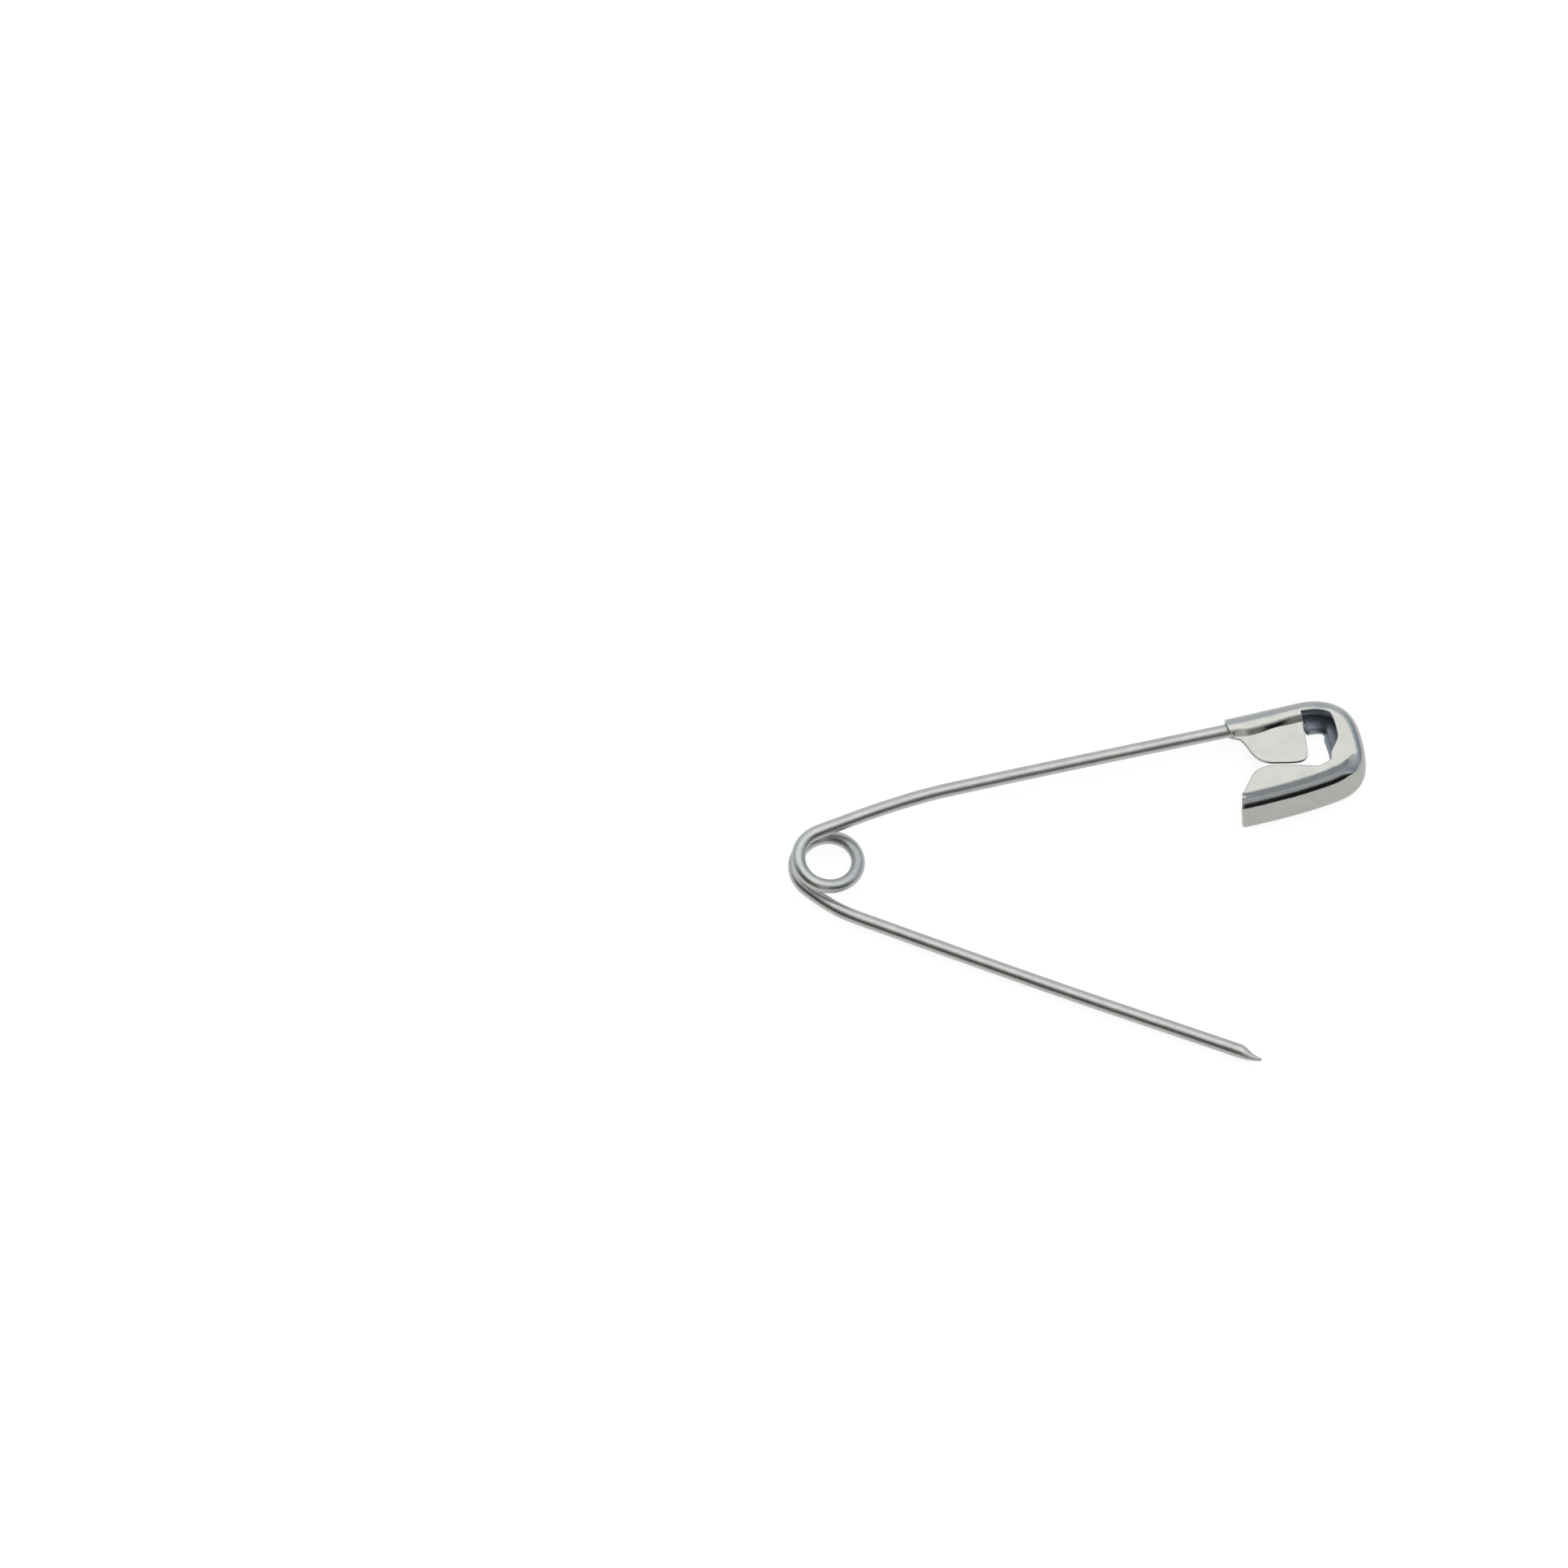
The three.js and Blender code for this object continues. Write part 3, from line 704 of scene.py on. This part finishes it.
def mix_colour(tree, fac, a, b):
    n = tree.nodes.new("ShaderNodeMix")
    n.data_type = "RGBA"
    for socket, v in ((n.inputs[0], fac), (n.inputs[6], a), (n.inputs[7], b)):
        if isinstance(v, bpy.types.NodeSocket):
            tree.links.new(v, socket)
        else:
            socket.default_value = (*v, 1) if isinstance(v, tuple) else v
    return n.outputs[2]


def plated_steel(name, bright, dull, rough, draw_lines):
    """Nickel-plated steel: uneven plating, fine rub marks, painted shade in hollows and lighter sharp edges."""
    m = bpy.data.materials.new(name)
    m.use_nodes = True
    t = m.node_tree
    t.nodes.clear()
    out = node(t, "ShaderNodeOutputMaterial")
    bsdf = node(t, "ShaderNodeBsdfPrincipled", {"Metallic": 1.0})
    t.links.new(bsdf.outputs[0], out.inputs[0])
    place = node(t, "ShaderNodeTexCoord").outputs["Object"]
    millimetres = node(t, "ShaderNodeVectorMath", {0: place, 1: (1000, 1000, 1000)}, operation="MULTIPLY").outputs[0]
    if draw_lines:
        along = node(t, "ShaderNodeAttribute", attribute_name="along").outputs["Vector"]
        stretched = node(t, "ShaderNodeVectorMath", {0: along, 1: (0.35, 26.0, 26.0)}, operation="MULTIPLY").outputs[0]
        lines = node(t, "ShaderNodeTexNoise", {"Vector": stretched, "Scale": 1.0, "Detail": 4.0, "Roughness": 0.65}).outputs["Fac"]
    else:
        stretched = node(t, "ShaderNodeVectorMath", {0: millimetres, 1: (3.0, 14.0, 9.0)}, operation="MULTIPLY").outputs[0]
        lines = node(t, "ShaderNodeTexNoise", {"Vector": stretched, "Scale": 1.0, "Detail": 3.0, "Roughness": 0.6}).outputs["Fac"]
    patches = node(t, "ShaderNodeTexNoise", {"Vector": millimetres, "Scale": 0.9, "Detail": 5.0, "Roughness": 0.62}).outputs["Fac"]
    fine = node(t, "ShaderNodeTexNoise", {"Vector": millimetres, "Scale": 11.0, "Detail": 6.0, "Roughness": 0.7}).outputs["Fac"]
    wave = node(t, "ShaderNodeTexNoise", {"Vector": millimetres, "Scale": 1.7, "Detail": 1.0, "Roughness": 0.4}).outputs["Fac"]
    pits = node(t, "ShaderNodeTexVoronoi", {"Vector": millimetres, "Scale": 5.5, "Randomness": 1.0}).outputs["Distance"]
    pit = ramp(t, pits, [(0.0, 1.0), (0.06, 0.85), (0.11, 0.0)]).outputs[0]
    # colour: plating a little uneven in tone, painted shade darkening the hollows, lighter on sharp edges
    point = node(t, "ShaderNodeNewGeometry").outputs["Pointiness"]
    hollow = ramp(t, point, [(0.42, 1.0), (0.495, 0.0)]).outputs[0]
    edge = ramp(t, point, [(0.51, 0.0), (0.58, 1.0)]).outputs[0]
    tone = ramp(t, patches, [(0.32, 0.0), (0.68, 1.0)]).outputs[0]
    colour = mix_colour(t, tone, dull, bright)
    # painted shade: hollows are darkened towards 0.45 of the dull tone
    colour = mix_colour(t, math_node(t, "MULTIPLY", hollow, 0.45), colour, tuple(c * 0.45 for c in dull))
    # lighter towards sharp edges, by pointiness
    colour = mix_colour(t, math_node(t, "MULTIPLY", edge, 0.35), colour, tuple(min(1.0, c * 1.18) for c in bright))
    if not draw_lines:
        inside_shade = node(t, "ShaderNodeAttribute", attribute_name="inside_shade").outputs["Fac"]
        # painted shade: the sheet's inner faces are coloured a dark blue-grey, as the inside of the cap lies in shade
        colour = mix_colour(t, inside_shade, colour, mix_colour(t, tone, (0.20, 0.22, 0.255), (0.25, 0.27, 0.305)))
        # painted shade: the ridge's crest colour is pulled towards dark grey, dimming its highlight
        shaded_crest = node(t, "ShaderNodeAttribute", attribute_name="shaded_crest").outputs["Fac"]
        colour = mix_colour(t, math_node(t, "MULTIPLY", shaded_crest, 0.9), colour, (0.26, 0.27, 0.275))
    t.links.new(colour, bsdf.inputs["Base Color"])
    # roughness
    r = math_node(t, "MULTIPLY_ADD", lines, 0.10)
    r.node.inputs[2].default_value = rough - 0.05
    r = math_node(t, "ADD", r, math_node(t, "MULTIPLY", math_node(t, "SUBTRACT", fine, 0.5), 0.14))
    r = math_node(t, "ADD", r, math_node(t, "MULTIPLY", hollow, 0.16))
    if not draw_lines:
        r = math_node(t, "ADD", r, math_node(t, "MULTIPLY", inside_shade, 0.28))
        r = math_node(t, "ADD", r, math_node(t, "MULTIPLY", shaded_crest, 0.42))
    r = math_node(t, "ADD", r, math_node(t, "MULTIPLY", pit, 0.05), clamp=True)
    t.links.new(r, bsdf.inputs["Roughness"])
    # relief: draw or rolling lines, grain, shallow waves, tiny pits
    b1 = node(t, "ShaderNodeBump", {"Strength": 0.16 if draw_lines else 0.07, "Distance": 0.00002, "Height": lines})
    b2 = node(t, "ShaderNodeBump", {"Strength": 0.10, "Distance": 0.00001, "Height": fine, "Normal": b1.outputs[0]})
    b3 = node(t, "ShaderNodeBump", {"Strength": 0.10, "Distance": 0.0001, "Height": wave, "Normal": b2.outputs[0]})
    b4 = node(t, "ShaderNodeBump", {"Strength": 0.22, "Distance": 0.00001, "Height": pit, "Normal": b3.outputs[0]}, invert=True)
    t.links.new(b4.outputs[0], bsdf.inputs["Normal"])
    return m


wire_steel = plated_steel("plated_wire", (0.475, 0.472, 0.45), (0.42, 0.42, 0.405), 0.36, True)
cap_steel = plated_steel("plated_sheet", (0.415, 0.412, 0.388), (0.385, 0.383, 0.362), 0.13, False)

for obj, mat, slot in ((wire_main, wire_steel, "wire_nickel"), (wire_pin, wire_steel, "wire_nickel"), (cap, cap_steel, "cap_nickel")):
    obj.data.materials.append(mat)

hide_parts("back_arm", "spring_coil")
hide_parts("pin_arm")
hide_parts("clasp_cap")
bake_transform(wire_main)
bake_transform(wire_pin)
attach(cap, "back")

# ------------------------------------------------------------------ floor, light, camera
mesh = bpy.data.meshes.new("floor")
S = 1.5
n = 24
gx = np.linspace(-S, S, n + 1)
mesh.from_pydata([(x, y, -0.00002) for y in gx for x in gx], [],
                 [(j * (n + 1) + i, j * (n + 1) + i + 1, (j + 1) * (n + 1) + i + 1, (j + 1) * (n + 1) + i) for j in range(n) for i in range(n)])
floor = bpy.data.objects.new("floor", mesh)
bpy.context.scene.collection.objects.link(floor)
fm = bpy.data.materials.new("pale_floor")
fm.use_nodes = True
t = fm.node_tree
t.nodes.clear()
out = node(t, "ShaderNodeOutputMaterial")
bsdf = node(t, "ShaderNodeBsdfPrincipled", {"Roughness": 0.9, "Specular IOR Level": 0.0, "Emission Strength": 0.90})
grain = node(t, "ShaderNodeTexNoise", {"Vector": node(t, "ShaderNodeTexCoord").outputs["Object"], "Scale": 900.0, "Detail": 4.0}).outputs["Fac"]
t.links.new(ramp(t, grain, [(0.3, (0.150, 0.150, 0.149)), (0.7, (0.165, 0.165, 0.164))]).outputs[0], bsdf.inputs["Base Color"])
bsdf.inputs["Emission Color"].default_value = (1, 1, 1, 1)
t.links.new(bsdf.outputs[0], out.inputs[0])
floor.data.materials.append(fm)

AZ, EL = -14.0, 65.0
look_h = np.array([math.sin(-AZ * DEG), math.cos(-AZ * DEG), 0.0])      # level direction that the camera looks along
right = np.array([look_h[1], -look_h[0], 0.0])

world = bpy.data.worlds.new("soft_light")
bpy.context.scene.world = world
world.use_nodes = True
t = world.node_tree
t.nodes.clear()
out = node(t, "ShaderNodeOutputWorld")
bg = node(t, "ShaderNodeBackground", {"Strength": 1.0})
t.links.new(bg.outputs[0], out.inputs[0])
d = node(t, "ShaderNodeTexCoord").outputs["Generated"]


def along_dir(v):
    return node(t, "ShaderNodeVectorMath", {0: d, 1: tuple(v)}, operation="DOT_PRODUCT").outputs["Value"]


near, up_, across = along_dir(-look_h), along_dir((0, 0, 1)), along_dir(right)
beta = math_node(t, "ARCTAN2", near, up_)                              # 0 overhead, positive towards the near side
beta = math_node(t, "MULTIPLY_ADD", beta, 1 / (2 * math.pi))
beta.node.inputs[2].default_value = 0.5


def stop(angle, value):
    return (angle / 360 + 0.5, value)


tent = ramp(t, beta, [
    stop(-179, 0.9), stop(-92, (0.90, 0.95, 1.0)), stop(-60, (0.86, 0.94, 1.04)), stop(-39, (0.99, 1.05, 1.13)),
    stop(-31, (1.68, 1.69, 1.68)), stop(0, (1.74, 1.74, 1.72)), stop(12, (1.66, 1.66, 1.64)), stop(22, (0.85, 0.85, 0.85)),
    stop(32, (0.42, 0.42, 0.43)), stop(41, (0.08, 0.08, 0.085)), stop(50, (0.02, 0.02, 0.022)), stop(98, (0.02, 0.02, 0.02)),
    stop(106, (0.5, 0.5, 0.5)), stop(179, 0.9),
])
tent.color_ramp.interpolation = "LINEAR"
sides = ramp(t, math_node(t, "MULTIPLY_ADD", across, 0.5), [
    (0.0, (0.05, 0.05, 0.05)), (0.20, (0.05, 0.05, 0.05)), (0.30, (0.27, 0.27, 0.28)), (0.39, (1.0, 1.0, 1.0)), (0.63, (1.0, 1.0, 1.0)),
    (0.74, (0.74, 0.77, 0.81)), (0.86, (0.46, 0.50, 0.55)), (1.0, (0.38, 0.42, 0.47))])
sides.color_ramp.interpolation = "LINEAR"
sides.inputs[0].links[0].from_node.inputs[2].default_value = 0.5
mixed = node(t, "ShaderNodeMix", {0: 1.0}, data_type="RGBA", blend_type="MULTIPLY")
t.links.new(tent.outputs[0], mixed.inputs[6])
far_sides = ramp(t, sides.inputs[0].links[0].from_socket, [
    (0.0, (0.62, 0.68, 0.74)), (0.15, (0.80, 0.86, 0.92)), (0.3, (0.95, 1.0, 1.03)), (0.37, (1.0, 1.0, 1.0)), (0.63, (1.0, 1.0, 1.0)),
    (0.74, (0.80, 0.84, 0.89)), (0.86, (0.55, 0.60, 0.66)), (1.0, (0.42, 0.47, 0.52))])
far_sides.color_ramp.interpolation = "LINEAR"
nearness = math_node(t, "MULTIPLY_ADD", near, 2.8, clamp=True)
nearness.node.inputs[2].default_value = 0.7
t.links.new(mix_colour(t, nearness, far_sides.outputs[0], sides.outputs[0]), mixed.inputs[7])
# a paler patch low on the near side, between two dark ones
patch = ramp(t, sides.inputs[0].links[0].from_socket, [(0.40, 0.0), (0.46, 0.7), (0.56, 0.7), (0.63, 0.0)])
window = ramp(t, beta, [stop(22, 0.0), stop(38, 1.0), stop(90, 1.0), stop(98, 0.0)])
patch.color_ramp.interpolation = window.color_ramp.interpolation = "LINEAR"
low = node(t, "ShaderNodeVectorMath", {0: patch.outputs[0], 1: window.outputs[0]}, operation="MULTIPLY").outputs[0]
light = node(t, "ShaderNodeVectorMath", {0: mixed.outputs[2], 1: low}, operation="ADD").outputs[0]
t.links.new(light, bg.inputs[0])

cam_data = bpy.data.cameras.new("camera")
cam = bpy.data.objects.new("camera", cam_data)
bpy.context.scene.collection.objects.link(cam)
bpy.context.scene.camera = cam
DISTANCE = 1.2
target = row_frame((-1.388, 6.278, 1.3))
behind = -look_h * math.cos(EL * DEG) + np.array([0, 0, math.sin(EL * DEG)])
cam.location = Vector(target + behind * DISTANCE)
cam.rotation_mode = "QUATERNION"
cam.rotation_quaternion = Vector(-behind).to_track_quat("-Z", "Y")
cam_data.sensor_width = 36.0
cam_data.lens = 36.0 * DISTANCE / 0.10443
cam_data.clip_start, cam_data.clip_end = 0.05, 20.0

bpy.context.scene.view_settings.view_transform = "Standard"

bpy.context.view_layer.update()
